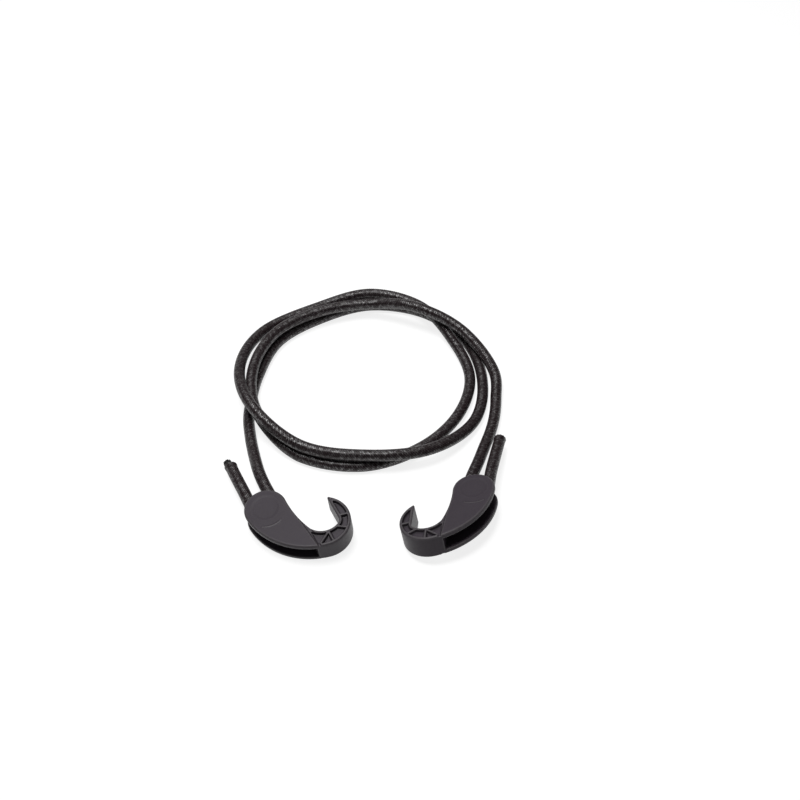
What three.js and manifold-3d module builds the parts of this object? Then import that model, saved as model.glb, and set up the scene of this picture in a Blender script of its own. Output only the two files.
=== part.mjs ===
// Adjustable bungee cord lying in a loose coil: an elastic cord with a hook on each end.
// Millimetres, +Z up. The floor is z = 0 and the origin is below the middle of the two hooks' box.
import * as THREE from 'three';
import { mergeVertices } from 'three/addons/utils/BufferGeometryUtils.js';
import Module from 'manifold-3d';

const wasm = await Module();
wasm.setup();

// Cord
const CORD_DIAMETER = 8;
const SHEATH_WALL = 0.8;
const STRAND_GAP = 0.4;
const STRANDS_ROUND_CENTRE = 6;
const SHEATH_SIDES = 6;
const CORE_STUB = 3.5;
const MELTED_END = 2;
const JOIN_GAP = 0.3;

// Hook, thickness direction
const CORD_CLEARANCE = 0.7;
const PLATE_THICKNESS = 3.2;
const EDGE_ROUND = 1;
const POCKET_DEPTH = 2.2;
const RECESS_DEPTH = 0.4;

// Hook outline, in its own frame: the post is the origin and +X runs towards the horn
const HEAD_RADIUS = 13.5;
const POST_RADIUS = 2.3;
const RECESS_RADIUS = 8.3;
const BACK_RADIUS = 47.8;
const HORN_CENTRE = [36, 11.7];
const HORN_RADIUS = 17.6;
const HORN_ARC_END = 107;
const HORN_TIP_LENGTH = 4;
const HORN_TIP_WIDTH = 2.6;
const HORN_TIP_ANGLE = -27.6;
const MOUTH_CENTRE = [32.8, 15.6];
const MOUTH_RADIUS = 12;
const MOUTH_CORNER_RADIUS = 4;
const MOUTH_CORNER_ANGLE = -1;
const EDGE_RADIUS = 70.5;

// Walls of the hook
const WEB_THICKNESS = 2.2;
const WEB_START = 4;
const PLATE_END_ANGLE = -27;
const PLATE_END_SETBACK = 2.4;
const SLOT_END_WALL = 1.2;
const RIM = 1.8;
const TIP_SOLID = 3;
const RIB = 1.2;

// Ribs across the horn's pocket, from the mouth side to the outer side
const RIB_LINES = [
  [[43.7, 7.6], [44.8, -2.8]],
  [[43.7, 7.6], [51.5, 3.6]],
  [[45.2, 13.2], [54.5, 17.6]],
  [[41.2, 19.2], [47.5, 26.0]],
];

// Where the hooks lie: post position, direction of +X while level, tilt about X and then about Y,
// and direction of the cord into the head
const POST_SPAN = 131.2;
const POSTS_MIDDLE = -0.36;
const LEFT_HOOK = {
  post: [POSTS_MIDDLE - POST_SPAN / 2, 2.61],
  angle: -34.8,
  tilt: [7.2, -4],
  cordAngle: -64.3,
  flipped: false,
};
const RIGHT_HOOK = {
  post: [POSTS_MIDDLE + POST_SPAN / 2, 13.81],
  angle: -123,
  tilt: [-9.3, -11.4],
  cordAngle: -102.1,
  flipped: true,
};

// Cord at the hooks: distance out of the head, distance from the post's line,
// and how far it hangs below the slot's middle plane
const LEFT_TAIL = [[52.7, 6.5, 6.3], [37.2, 6.9, 3.2], [22.5, 6.95, 0.9], [10, 7.1, 0]];
const LEFT_LEG = [[10, 7, 0], [22, 6.9, 1.3], [35.5, 7.85, 3.7]];
const RIGHT_TAIL = [[59.6, 6.2, 0.2], [38.2, 5.9, 0.3], [22.6, 6, 0.05], [10, 6.8, 0]];
const RIGHT_LEG = [[10, 6.7, 0], [20.6, 6, 0.2], [34.6, 4.5, 0.7]];

// Leads between hook and coil: x, y and layer above the floor, from the hook to the coil
const LEFT_LEAD = [[-81.4, 61.8, 0.2], [-84.9, 77.1, 0.05], [-87.3, 91.6, 0], [-87.5, 106.6, 0]];
const RIGHT_LEAD = [[73.4, 61.8, 0.2], [79.9, 81.1, 0.04], [83.1, 94.6, 0], [85.1, 110.6, 0.05]];
const LEAD_CUT = 1;

// Coil, clockwise from its left side: radius and layer at each clock hour, turn by turn
const COIL_CENTRE = [-6, 134.3];
const HOUR = 30;
const COIL_RADII = [
  [79, 77, 74, 79.5, 82, 82, 82.5, 87, 88.5, 84, 86.5, 90],
  [90.8, 91, 83, 84.5, 79, 72.5, 73.8, 74.5, 78.5, 85.5, 88.5, 86.5],
  [81.5, 78.5, 72.5, 71, 68, 78.5, 91],
];
const COIL_LAYERS = [
  [0, 0, 0.03, 0.03, 0.03, 0.03, 0, 0, 0.88, 1.08, 1.08, 2.06],
  [1.34, 0.45, 0.5, 1, 1.06, 0.32, 0, 0, 0, 0, 0, 1],
  [1.08, 1.08, 1.1, 1.13, 2.08, 1.45, 0.62],
];

// Derived sizes
const CORD_RADIUS = CORD_DIAMETER / 2;
const SLOT_HEIGHT = CORD_DIAMETER + 2 * CORD_CLEARANCE;
const HOOK_THICKNESS = SLOT_HEIGHT + 2 * PLATE_THICKNESS;
const BIGHT_RADIUS = POST_RADIUS + CORD_CLEARANCE + CORD_RADIUS;
const BORE_RADIUS = CORD_RADIUS - SHEATH_WALL;
const STRAND_RADIUS = (BORE_RADIUS - 2 * STRAND_GAP) / 3;
const STRAND_RING = 2 * STRAND_RADIUS + STRAND_GAP;
const BEYOND = 3 * HEAD_RADIUS;

// Mesh settings
const ARC_STEPS = 7;
const COIL_STEPS = 2;
const END_STEPS = 1;
const BIGHT_POINTS = 7;
const OVERCUT = 1;

const radians = THREE.MathUtils.degToRad;
const polar = (centre, radius, degrees) => new THREE.Vector2(
  centre[0] + radius * Math.cos(radians(degrees)),
  centre[1] + radius * Math.sin(radians(degrees)),
);
const angleOf = (x, y) => THREE.MathUtils.radToDeg(Math.atan2(y, x));

const plastic = new THREE.MeshStandardMaterial({ color: 0x2b292b, roughness: 0.55, metalness: 0 });
const braid = new THREE.MeshStandardMaterial({ color: 0x242122, roughness: 0.7, metalness: 0 });
const rubber = new THREE.MeshStandardMaterial({ color: 0x1b1a1a, roughness: 0.85, metalness: 0 });

// Solids for joining and cutting
function solidOf(geometry) {
  const bare = geometry.clone();
  bare.deleteAttribute('normal');
  bare.deleteAttribute('uv');
  const merged = mergeVertices(bare, 1e-4);
  return new wasm.Manifold(new wasm.Mesh({
    numProp: 3,
    vertProperties: new Float32Array(merged.attributes.position.array),
    triVerts: new Uint32Array(merged.index.array),
  }));
}

function geometryOf(solid) {
  const mesh = solid.getMesh();
  const geometry = new THREE.BufferGeometry();
  geometry.setAttribute('position', new THREE.BufferAttribute(new Float32Array(mesh.vertProperties), 3));
  geometry.setIndex(new THREE.BufferAttribute(new Uint32Array(mesh.triVerts), 1));
  geometry.computeVertexNormals();
  return geometry;
}

function prism(shape, bottom, top) {
  const options = { depth: top - bottom, bevelEnabled: false, curveSegments: ARC_STEPS };
  const geometry = new THREE.ExtrudeGeometry(shape, options);
  geometry.translate(0, 0, bottom);
  return solidOf(geometry);
}

// Tip of the horn, straight on from its arc and cut off slantwise
const hornTip = polar(HORN_CENTRE, HORN_RADIUS, HORN_ARC_END)
  .add(polar([0, 0], HORN_TIP_LENGTH, HORN_ARC_END + 90));
const hornTipInner = hornTip.clone().add(polar([0, 0], HORN_TIP_WIDTH, HORN_TIP_ANGLE));

// Tangent arcs and lines of the hook's outline
function hookArcs() {
  const toHead = BACK_RADIUS - HEAD_RADIUS;
  const toHorn = BACK_RADIUS - HORN_RADIUS;
  const span = Math.hypot(...HORN_CENTRE);
  const swing = Math.acos((toHead ** 2 + span ** 2 - toHorn ** 2) / (2 * toHead * span));
  const backAngle = angleOf(...HORN_CENTRE) + THREE.MathUtils.radToDeg(swing);
  const backCentre = polar([0, 0], toHead, backAngle).toArray();
  const backStart = backAngle - 180;
  const backEnd = angleOf(HORN_CENTRE[0] - backCentre[0], HORN_CENTRE[1] - backCentre[1]);
  const fromHead = EDGE_RADIUS + HEAD_RADIUS;
  const fromMouth = EDGE_RADIUS - MOUTH_RADIUS;
  const toMouth = Math.hypot(...MOUTH_CENTRE);
  const lean = Math.acos((fromHead ** 2 + toMouth ** 2 - fromMouth ** 2) / (2 * fromHead * toMouth));
  const edgeAngle = angleOf(...MOUTH_CENTRE) + THREE.MathUtils.radToDeg(lean);
  const edgeCentre = polar([0, 0], fromHead, edgeAngle).toArray();
  const edgeEnd = angleOf(MOUTH_CENTRE[0] - edgeCentre[0], MOUTH_CENTRE[1] - edgeCentre[1]);
  const cornerCentre = polar(MOUTH_CENTRE, MOUTH_RADIUS - MOUTH_CORNER_RADIUS, MOUTH_CORNER_ANGLE).toArray();
  const reach = [cornerCentre[0] - hornTipInner.x, cornerCentre[1] - hornTipInner.y];
  const turn = Math.acos(MOUTH_CORNER_RADIUS / Math.hypot(...reach));
  const cornerStart = angleOf(...reach) + 180 - THREE.MathUtils.radToDeg(turn);
  return { backCentre, backStart, backEnd, edgeAngle, edgeCentre, edgeEnd, cornerCentre, cornerStart };
}

const arcs = hookArcs();

function addArc(shape, centre, radius, from, to, clockwise) {
  shape.absarc(centre[0], centre[1], radius, radians(from), radians(to), clockwise);
}

function hookOutline() {
  const shape = new THREE.Shape();
  addArc(shape, [0, 0], HEAD_RADIUS, arcs.edgeAngle, arcs.backStart, false);
  addArc(shape, arcs.backCentre, BACK_RADIUS, arcs.backStart, arcs.backEnd, false);
  addArc(shape, HORN_CENTRE, HORN_RADIUS, arcs.backEnd, HORN_ARC_END, false);
  shape.lineTo(...hornTip.toArray());
  shape.lineTo(...hornTipInner.toArray());
  addArc(shape, arcs.cornerCentre, MOUTH_CORNER_RADIUS, arcs.cornerStart, MOUTH_CORNER_ANGLE, true);
  addArc(shape, MOUTH_CENTRE, MOUTH_RADIUS, MOUTH_CORNER_ANGLE, arcs.edgeEnd, true);
  addArc(shape, arcs.edgeCentre, EDGE_RADIUS, arcs.edgeEnd, arcs.edgeAngle - 180, true);
  return shape;
}

// Edge where the flush plates end and the pockets begin
const plateEnd = new THREE.Vector2(MOUTH_CENTRE[0] - PLATE_END_SETBACK, MOUTH_CENTRE[1] - MOUTH_RADIUS);
const plateEndAlong = polar([0, 0], 1, PLATE_END_ANGLE);
const plateEndBack = polar([0, 0], 1, PLATE_END_ANGLE - 90);

// Slot, open at the head and the back, with a web along the mouth side
function slotShape() {
  const onWall = plateEnd.clone().addScaledVector(plateEndBack, SLOT_END_WALL);
  const webRadius = EDGE_RADIUS + WEB_THICKNESS;
  const webStart = arcs.edgeAngle - 180 + THREE.MathUtils.radToDeg(WEB_START / EDGE_RADIUS);
  const webEnd = leaves(onWall, plateEndAlong, arcs.edgeCentre, webRadius);
  const wallOut = webEnd.clone().addScaledVector(plateEndAlong, BEYOND);
  const shape = new THREE.Shape();
  shape.moveTo(...polar(arcs.edgeCentre, webRadius, webStart).toArray());
  shape.lineTo(...polar(arcs.edgeCentre, webRadius - BEYOND, webStart).toArray());
  shape.lineTo(-BEYOND, BEYOND);
  shape.lineTo(-BEYOND, -BEYOND);
  shape.lineTo(...wallOut.toArray());
  addArc(shape, arcs.edgeCentre, webRadius, seenFrom(arcs.edgeCentre, webEnd), webStart, true);
  const post = new THREE.Path();
  addArc(post, [0, 0], POST_RADIUS, 0, 360, false);
  shape.holes.push(post);
  return shape;
}

// Point where a line from a point inside a circle leaves it
function leaves(from, along, centre, radius) {
  const offset = from.clone().sub(new THREE.Vector2(...centre));
  const middle = offset.dot(along);
  const reach = -middle + Math.sqrt(middle ** 2 - offset.lengthSq() + radius ** 2);
  return from.clone().addScaledVector(along, reach);
}

const seenFrom = (centre, point) => angleOf(point.x - centre[0], point.y - centre[1]);

// Everything on one side of a line through a point, the side that the angle points to
function sideOf(point, degrees) {
  const along = polar([0, 0], BEYOND, degrees - 90);
  const out = polar([0, 0], 2 * BEYOND, degrees);
  const start = point.clone().sub(along);
  const end = point.clone().add(along);
  return new wasm.CrossSection([[start, end, end.clone().add(out), start.clone().add(out)].map(
    (corner) => corner.toArray(),
  )]);
}

// Pocket in the horn, a rim inside the outline, from the plate's end to the tip
function pocketSolid(bottom, top) {
  const outline = hookOutline().getPoints(ARC_STEPS).map((point) => point.toArray());
  const towardsHorn = arcs.cornerStart - 90;
  const tip = hornTipInner.clone().add(polar([0, 0], TIP_SOLID, towardsHorn));
  const inside = new wasm.CrossSection([outline]).offset(-RIM, 'Round')
    .intersect(sideOf(plateEnd, PLATE_END_ANGLE + 90))
    .intersect(sideOf(tip, towardsHorn));
  return inside.extrude(top - bottom).translate([0, 0, bottom]);
}

function ribShape([from, to]) {
  const start = new THREE.Vector2(...from);
  const along = new THREE.Vector2(...to).sub(start).normalize();
  const side = new THREE.Vector2(-along.y, along.x).multiplyScalar(RIB / 2);
  const end = new THREE.Vector2(...to).addScaledVector(along, RIM);
  start.addScaledVector(along, -RIM);
  const corners = [
    start.clone().add(side),
    start.clone().sub(side),
    end.clone().sub(side),
    end.clone().add(side),
  ];
  return new THREE.Shape(corners);
}

function hookGeometry() {
  const body = new THREE.ExtrudeGeometry(hookOutline(), {
    depth: HOOK_THICKNESS - 2 * EDGE_ROUND,
    bevelEnabled: true,
    bevelThickness: EDGE_ROUND,
    bevelSize: EDGE_ROUND,
    bevelOffset: -EDGE_ROUND,
    bevelSegments: 2,
    curveSegments: ARC_STEPS,
  });
  body.translate(0, 0, EDGE_ROUND);
  let solid = solidOf(body);
  solid = solid.subtract(prism(slotShape(), PLATE_THICKNESS, PLATE_THICKNESS + SLOT_HEIGHT));
  const recess = new THREE.Shape();
  addArc(recess, [0, 0], RECESS_RADIUS, 0, 360, false);
  const faces = [
    { pocket: [-OVERCUT, POCKET_DEPTH], recess: [-OVERCUT, RECESS_DEPTH] },
    {
      pocket: [HOOK_THICKNESS - POCKET_DEPTH, HOOK_THICKNESS + OVERCUT],
      recess: [HOOK_THICKNESS - RECESS_DEPTH, HOOK_THICKNESS + OVERCUT],
    },
  ];
  for (const face of faces) {
    let pockets = pocketSolid(...face.pocket);
    for (const line of RIB_LINES) {
      const [bottom, top] = face.pocket;
      pockets = pockets.subtract(prism(ribShape(line), bottom - OVERCUT, top + OVERCUT));
    }
    solid = solid.subtract(pockets);
    solid = solid.subtract(prism(recess, ...face.recess));
  }
  return geometryOf(solid.translate([0, 0, -HOOK_THICKNESS / 2]));
}

const hookForm = hookGeometry();
const about = (x, y, z, degrees) => new THREE.Quaternion()
  .setFromAxisAngle(new THREE.Vector3(x, y, z), radians(degrees));

// Tilt of a hook out of the level, and its whole turn
const tiltOf = (hook) => about(0, 1, 0, hook.tilt[1]).multiply(about(1, 0, 0, hook.tilt[0]));
const turnOf = (hook) => tiltOf(hook)
  .multiply(about(0, 0, 1, hook.angle))
  .multiply(about(1, 0, 0, hook.flipped ? 180 : 0));

// Middle of the post, with the hook's lowest edge on the floor
function postMiddle(hook) {
  const turned = hookForm.clone().applyQuaternion(turnOf(hook));
  turned.computeBoundingBox();
  return new THREE.Vector3(...hook.post, -turned.boundingBox.min.z);
}

function hookMesh(name, hook) {
  const mesh = new THREE.Mesh(hookForm, plastic);
  mesh.name = name;
  mesh.quaternion.copy(turnOf(hook));
  mesh.position.copy(postMiddle(hook));
  return mesh;
}

// Route of the cord, from the tip of the left tail to the tip of the right tail
function atHook(hook, out, side, drop) {
  const inward = polar([0, 0], 1, hook.cordAngle);
  const forward = new THREE.Vector3(inward.x, inward.y, 0).applyQuaternion(tiltOf(hook));
  const across = new THREE.Vector3(-inward.y, inward.x, 0).applyQuaternion(tiltOf(hook));
  const point = postMiddle(hook).addScaledVector(forward, -out);
  point.addScaledVector(across, hook.flipped ? -side : side);
  point.z -= drop;
  return point;
}

// Tail, bight round the post and leg of one end
function endRoute(hook, tail, leg) {
  const points = tail.map(([out, side, drop]) => atHook(hook, out, -side, drop));
  for (let i = 0; i < BIGHT_POINTS; i += 1) {
    const turn = Math.PI * i / (BIGHT_POINTS - 1);
    points.push(atHook(hook, -BIGHT_RADIUS * Math.sin(turn), -BIGHT_RADIUS * Math.cos(turn), 0));
  }
  points.push(...leg.map(([out, side, drop]) => atHook(hook, out, side, drop)));
  return points;
}

const layerHeight = (layer) => CORD_RADIUS + layer * CORD_DIAMETER;
const leadRoute = (lead) => lead.map(([x, y, layer]) => new THREE.Vector3(x, y, layerHeight(layer)));

function coilRoute() {
  const points = [];
  COIL_RADII.forEach((radii, turn) => radii.forEach((radius, hour) => {
    const flat = polar(COIL_CENTRE, radius, 180 - HOUR * points.length);
    points.push(new THREE.Vector3(flat.x, flat.y, layerHeight(COIL_LAYERS[turn][hour])));
  }));
  return points;
}

const leftEnd = [...endRoute(LEFT_HOOK, LEFT_TAIL, LEFT_LEG), ...leadRoute(LEFT_LEAD)];
const rightEnd = [...endRoute(RIGHT_HOOK, RIGHT_TAIL, RIGHT_LEG), ...leadRoute(RIGHT_LEAD)];
const route = [...leftEnd, ...coilRoute(), ...rightEnd.toReversed()];
const curve = new THREE.CatmullRomCurve3(route, false, 'centripetal');
const leftCut = leftEnd.length - LEFT_LEAD.length + LEAD_CUT;
const rightCut = route.length - 1 - (rightEnd.length - RIGHT_LEAD.length + LEAD_CUT);

// The cord lies on the floor where the curve would dip into it
function onFloor(point) {
  point.z = Math.max(point.z, CORD_RADIUS);
  return point;
}

// Sections along the cord, with a frame that doesn't twist
function cordSections() {
  const sections = [];
  for (let i = 0; i < route.length; i += 1) {
    const steps = i >= leftCut && i < rightCut ? COIL_STEPS : END_STEPS;
    for (let step = 0; step < steps && i + step / steps <= route.length - 1; step += 1) {
      const t = (i + step / steps) / (route.length - 1);
      const centre = onFloor(curve.getPoint(t));
      sections.push({ at: i + step / steps, centre, along: curve.getTangent(t) });
    }
  }
  const first = sections[0];
  first.normal = new THREE.Vector3(0, 0, 1).cross(first.along).normalize();
  for (let i = 1; i < sections.length; i += 1) {
    const turn = new THREE.Quaternion().setFromUnitVectors(sections[i - 1].along, sections[i].along);
    sections[i].normal = sections[i - 1].normal.clone().applyQuaternion(turn);
  }
  for (const section of sections) {
    section.across = section.along.clone().cross(section.normal);
  }
  return sections;
}

const sections = cordSections();
const moved = (section, distance) => ({
  ...section,
  centre: section.centre.clone().addScaledVector(section.along, distance),
});

// The three stretches, which meet face to face at the cuts
function stretch(from, to) {
  const part = sections.filter((section) => section.at >= from && section.at <= to);
  if (from > 0) part[0] = moved(part[0], JOIN_GAP / 2);
  if (to < route.length - 1) part[part.length - 1] = moved(part[part.length - 1], -JOIN_GAP / 2);
  return part;
}

// Points of a section: a round of corners about a point given by its radius and angle in the section
function corners(section, ringRadius, ringAngle, radius, sides) {
  const points = [];
  for (let k = 0; k < sides; k += 1) {
    const angle = ringAngle + 2 * Math.PI * k / sides;
    const x = ringRadius * Math.cos(ringAngle) + radius * Math.cos(angle);
    const y = ringRadius * Math.sin(ringAngle) + radius * Math.sin(angle);
    points.push(section.centre.clone().addScaledVector(section.normal, x).addScaledVector(section.across, y));
  }
  return points;
}

// Triangle mesh being put together ring by ring
class Skin {
  constructor() {
    this.positions = [];
    this.triangles = [];
  }

  ring(points) {
    const first = this.positions.length / 3;
    points.forEach((point) => this.positions.push(point.x, point.y, point.z));
    return points.map((_, k) => first + k);
  }

  band(a, b) {
    a.forEach((_, k) => {
      const next = (k + 1) % a.length;
      this.triangles.push(a[k], a[next], b[next], a[k], b[next], b[k]);
    });
  }

  cap(ring) {
    for (let k = 1; k < ring.length - 1; k += 1) this.triangles.push(ring[0], ring[k], ring[k + 1]);
  }

  geometry() {
    const geometry = new THREE.BufferGeometry();
    geometry.setAttribute('position', new THREE.Float32BufferAttribute(this.positions, 3));
    geometry.setIndex(this.triangles);
    geometry.computeVertexNormals();
    return geometry;
  }
}

function strandGeometry(part, ringRadius, ringAngle) {
  const skin = new Skin();
  const rings = part.map((section) => skin.ring(corners(section, ringRadius, ringAngle, STRAND_RADIUS, 4)));
  for (let i = 1; i < rings.length; i += 1) skin.band(rings[i - 1], rings[i]);
  skin.cap(rings[0].toReversed());
  skin.cap(rings.at(-1));
  return skin.geometry();
}

// Hollow tube. A melted end closes the bore a little before the tip.
function sheathGeometry(part, melted) {
  const skin = new Skin();
  const outer = part.map((section) => skin.ring(corners(section, 0, 0, CORD_RADIUS, SHEATH_SIDES)));
  const borePart = melted ? [...part.slice(0, -1), moved(part.at(-1), -MELTED_END)] : part;
  const bore = borePart.map((section) => skin.ring(corners(section, 0, 0, BORE_RADIUS, SHEATH_SIDES)));
  for (let i = 1; i < part.length; i += 1) {
    skin.band(outer[i - 1], outer[i]);
    skin.band(bore[i], bore[i - 1]);
  }
  skin.band(bore[0], outer[0]);
  if (melted) {
    skin.cap(outer.at(-1));
    skin.cap(bore.at(-1).toReversed());
  } else {
    skin.band(outer.at(-1), bore.at(-1));
  }
  return skin.geometry();
}

function cordMeshes(name, part, strandPart, melted) {
  const meshes = [new THREE.Mesh(sheathGeometry(part, melted), braid)];
  meshes[0].name = `${name}_sheath`;
  for (let k = 0; k <= STRANDS_ROUND_CENTRE; k += 1) {
    const ringRadius = k === 0 ? 0 : STRAND_RING;
    const ringAngle = k === 0 ? 0 : 2 * Math.PI * (k - 1) / STRANDS_ROUND_CENTRE;
    const strand = new THREE.Mesh(strandGeometry(strandPart, ringRadius, ringAngle), rubber);
    strand.name = `${name}_strand_${k + 1}`;
    meshes.push(strand);
  }
  return meshes;
}

// Least gap of the cord to itself, on points along the curve that are not neighbours
function leastGap() {
  const points = curve.getSpacedPoints(700).map(onFloor);
  const spacing = curve.getLength() / 700;
  const apart = Math.ceil(3 * CORD_DIAMETER / spacing);
  let least = Infinity;
  for (let i = 0; i < points.length; i += 1) {
    for (let j = i + apart; j < points.length; j += 1) {
      least = Math.min(least, points[i].distanceTo(points[j]));
    }
  }
  return least - CORD_DIAMETER;
}

const leftPart = stretch(0, leftCut);
const coilPart = stretch(leftCut, rightCut);
const rightPart = stretch(rightCut, route.length - 1);
const leftStrandPart = [moved(leftPart[0], -CORE_STUB), ...leftPart];
const rightStrandPart = [...rightPart.slice(0, -1), moved(rightPart.at(-1), -MELTED_END - JOIN_GAP)];

const bungee = new THREE.Group();
bungee.add(hookMesh('left_hook', LEFT_HOOK), hookMesh('right_hook', RIGHT_HOOK));
bungee.add(...cordMeshes('left_end', leftPart, leftStrandPart, false));
bungee.add(...cordMeshes('coil', coilPart, coilPart, false));
bungee.add(...cordMeshes('right_end', rightPart, rightStrandPart, true));

console.log(`cord length ${curve.getLength().toFixed(0)} mm, least gap to itself ${leastGap().toFixed(2)} mm`);

export default bungee;
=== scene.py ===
"""Adjustable bungee cord in a loose coil: braided cord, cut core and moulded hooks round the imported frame."""

from itertools import product

import bpy
import numpy as np
from mathutils import Matrix, Vector


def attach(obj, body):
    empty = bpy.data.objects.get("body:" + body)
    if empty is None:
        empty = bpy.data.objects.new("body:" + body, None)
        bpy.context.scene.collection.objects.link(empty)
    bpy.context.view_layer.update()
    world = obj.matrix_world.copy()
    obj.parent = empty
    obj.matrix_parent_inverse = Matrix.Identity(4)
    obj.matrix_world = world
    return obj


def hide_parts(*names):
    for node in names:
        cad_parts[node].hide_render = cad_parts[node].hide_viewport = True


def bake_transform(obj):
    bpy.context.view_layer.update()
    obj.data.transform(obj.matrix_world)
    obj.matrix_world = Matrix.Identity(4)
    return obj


MM = 0.001

# Cord, in millimetres
CORD_DIAMETER = 8.0
CORD_RADIUS = CORD_DIAMETER / 2
CORD_CLEARANCE = 0.7

# Braid of the sheath: yarns each way round the cord, length in which a yarn moves one place round, depth of
# the gaps, how high a yarn lies where it passes under another, as a share of that depth, the power that
# flattens its back, and how fine the mesh is
CARRIERS = 12
LAY = 1.6
RELIEF = 0.36
YARN_UNDER = 0.4
YARN_FLATNESS = 4
SIDES = 36
STEPS_PER_LAY = 4
RING_STEP = LAY / STEPS_PER_LAY

# Cut tip of the left tail: how far and how unevenly the sheath is cut back, how it flares, and the rings of
# its lip, each as a share of the radius and a place along the cord
CUT_BACK = 2.2
CUT_SLANT = 0.5
CUT_WAVES = 3
CUT_WAVE_HEIGHT = 0.15
CUT_WAVE_START = 0.7
FLARE = 0.1
FLARE_LENGTH = 6
LIP = [(0.74, -2.0), (0.8, -0.25), (0.92, 0.25), (1.04, 0.25)]
LIP_RELIEF = 0.3
LIP_LAYS = (-1, -0.1)

# Core at the cut tip: the bundle of rubber threads, one thread, and the rings of its end, each as a share of
# the radius and how far it lies short of the tip
CORE_RADIUS = 3.0
CORE_STUB = 3.5
CORE_SHIFT = 0.9
CORE_DOME = 0.11
CORE_UNEVEN = 0.15
CORE_SEED = 7
THREAD_RADIUS = 0.43
THREAD_GAP = 0.02
THREAD_ROWS = 4
THREAD_SIDES = 8
THREAD_INSIDE = 3.2
THREAD_END = [(1, 0.2), (0.8, 0.04), (0.35, 0)]

# Melted tip of the right tail: a swelling, and the rings of a dome that takes the place of the last rings
SWELL = 0.07
SWELL_RINGS = 14
DOME = [(1.06, 0.35), (0.98, 0.8), (0.82, 1.15), (0.58, 1.4), (0.3, 1.52)]
DOME_RINGS = 4
DOME_BACK = 1.3
DOME_RELIEF = 0.35
DOME_LAYS = (0.2, 1)

# Hook, in millimetres, in its own frame: the post is the origin and +X runs towards the horn
HOOK_THICKNESS = 15.8
SLOT_HEIGHT = 9.4
HEAD_RADIUS = 13.5
POST_RADIUS = 2.3
BACK_RADIUS = 47.8
HORN_CENTRE = np.array([36.0, 11.7])
HORN_RADIUS = 17.6
HORN_ARC_END = 107.0
HORN_TIP_LENGTH = 4.0
HORN_TIP_WIDTH = 2.6
HORN_TIP_ANGLE = -27.6
HORN_TIP_ROUND = 0.7
MOUTH_CENTRE = np.array([32.8, 15.6])
MOUTH_RADIUS = 12.0
MOUTH_CORNER_RADIUS = 4.0
MOUTH_CORNER_ANGLE = -1.0
EDGE_RADIUS = 70.5
EDGE_ROUND = 1.25
WEB_THICKNESS = 2.2
WEB_START = 4.0
PLATE_END_ANGLE = -27.0
PLATE_END_SETBACK = 2.4
SLOT_END_WALL = 1.2
SLOT_CORNER = 0.7
SLOT_EDGE = 0.6
RIM = 1.8
TIP_SOLID = 3.0
RIB = 1.2
RIB_CORNER = 0.6
RIB_LINES = [
    ((43.7, 7.6), (44.8, -2.8)),
    ((43.7, 7.6), (51.5, 3.6)),
    ((45.2, 13.2), (54.5, 17.6)),
    ((41.2, 19.2), (47.5, 26.0)),
]
POCKET_DEPTH = 2.2
POCKET_DRAFT = 0.05
POCKET_CORNER = 0.8
POCKET_EDGE = 0.5
LEDGE_DEPTH = 0.7
LEDGE_SHARE = 0.75
LEDGE_SETBACK = (0.6, 1.6)
LEDGE_OVERLAP = 1.5
LEDGE_SOFT = 0.4
RECESS_RADIUS = 8.3
RECESS_DEPTH = 0.13
RECESS_SOFT = 1.6
MARK_RADIUS = 13.9
MARK_MIDDLE = -33.0
MARK_HALF = 27.0
MARK_HEIGHT = 0.16
MARK_WIDTH = 0.4

# Grid that the hook's surface is drawn from: its cell, its margin in cells, how the points settle on the
# surface, and how strongly a bend counts as an edge
CELL = 0.3
GRID_MARGIN = 3
SETTLE_STEPS = 4
LEAST_SLOPE = 0.2
EDGE_GAIN = 0.9

# Where the hooks lie: middle of the post, direction of +X while level, tilt about X and then about Y,
# and direction of the cord into the head
LEFT_HOOK = {
    "post": (-65.96, 2.61, 10.2),
    "angle": -34.8,
    "tilt": (7.2, -4.0),
    "cord_angle": -64.3,
    "flipped": False,
}
RIGHT_HOOK = {
    "post": (65.24, 13.81, 13.89),
    "angle": -123.0,
    "tilt": (-9.3, -11.4),
    "cord_angle": -102.1,
    "flipped": True,
}

# Route of the cord at a hook: out of the head, off the post's line, and drop below the slot's middle
LEFT_TAIL = [(52.7, 6.5, 6.3), (37.2, 6.9, 3.2), (22.5, 6.95, 0.9), (10, 7.1, 0)]
LEFT_LEG = [(10, 7.0, 0), (22, 6.9, 1.3), (35.5, 7.85, 3.7)]
RIGHT_TAIL = [(59.6, 6.2, 0.2), (38.2, 5.9, 0.3), (22.6, 6.0, 0.05), (10, 6.8, 0)]
RIGHT_LEG = [(10, 6.7, 0), (20.6, 6.0, 0.2), (34.6, 4.5, 0.7)]
BIGHT_RADIUS = POST_RADIUS + CORD_CLEARANCE + CORD_RADIUS
BIGHT_POINTS = 7

# Route from the legs to the coil: X, Y and the layer, in diameters above the floor, and the point of each
# list at which the coil begins
LEFT_LEAD = [(-81.4, 61.8, 0.2), (-84.9, 77.1, 0.05), (-87.3, 91.6, 0), (-87.5, 106.6, 0)]
RIGHT_LEAD = [(73.4, 61.8, 0.2), (79.9, 81.1, 0.04), (83.1, 94.6, 0), (85.1, 110.6, 0.05)]
LEAD_CUT = 1

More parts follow.
